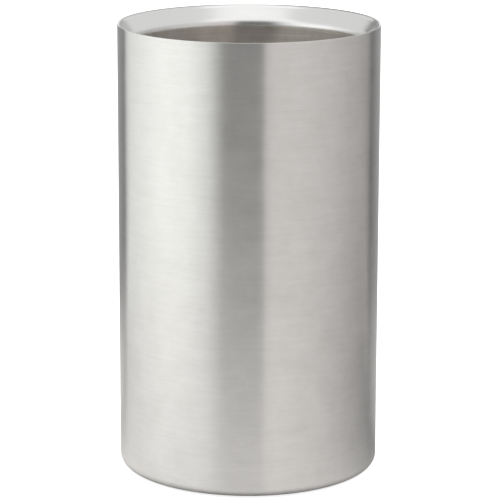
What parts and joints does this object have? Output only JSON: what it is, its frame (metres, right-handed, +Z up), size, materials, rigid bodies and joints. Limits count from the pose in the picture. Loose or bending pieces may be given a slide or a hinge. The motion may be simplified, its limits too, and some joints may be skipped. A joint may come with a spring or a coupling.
{
  "type": "champagne bottle cooler",
  "caption": "Straight-sided double-walled bottle cooler in brushed stainless steel, with a rounded rim, a flared polished mouth and a non-slip silicone foot.",
  "frame": {"origin": "centre of the circle that the silicone foot stands on", "axes": "+Z up along the cooler's axis of revolution; X and Y are alike"},
  "size_m": [0.1156, 0.1156, 0.2],
  "materials": {
    "outer_steel": "brushed round the body",
    "liner_steel": "turned satin wall, polished flare",
    "rim_steel": "ground round and polished",
    "plate_steel": "dull pressed sheet",
    "weld_steel": "weld bead with light heat tint",
    "foam": "closed-cell foam",
    "tape": "foam tape",
    "foot_silicone": "matt silicone",
    "plug_silicone": "matt silicone"
  },
  "bodies": {
    "root": {"outer_shell": "outer_steel", "inner_liner": "liner_steel", "rim_weld": "rim_steel", "base_plate": "plate_steel", "base_weld": "weld_steel", "liner_support": "foam", "foot_tape": "tape", "foot_ring": "foot_silicone", "vent_plug": "plug_silicone"}
  },
  "joints": []
}
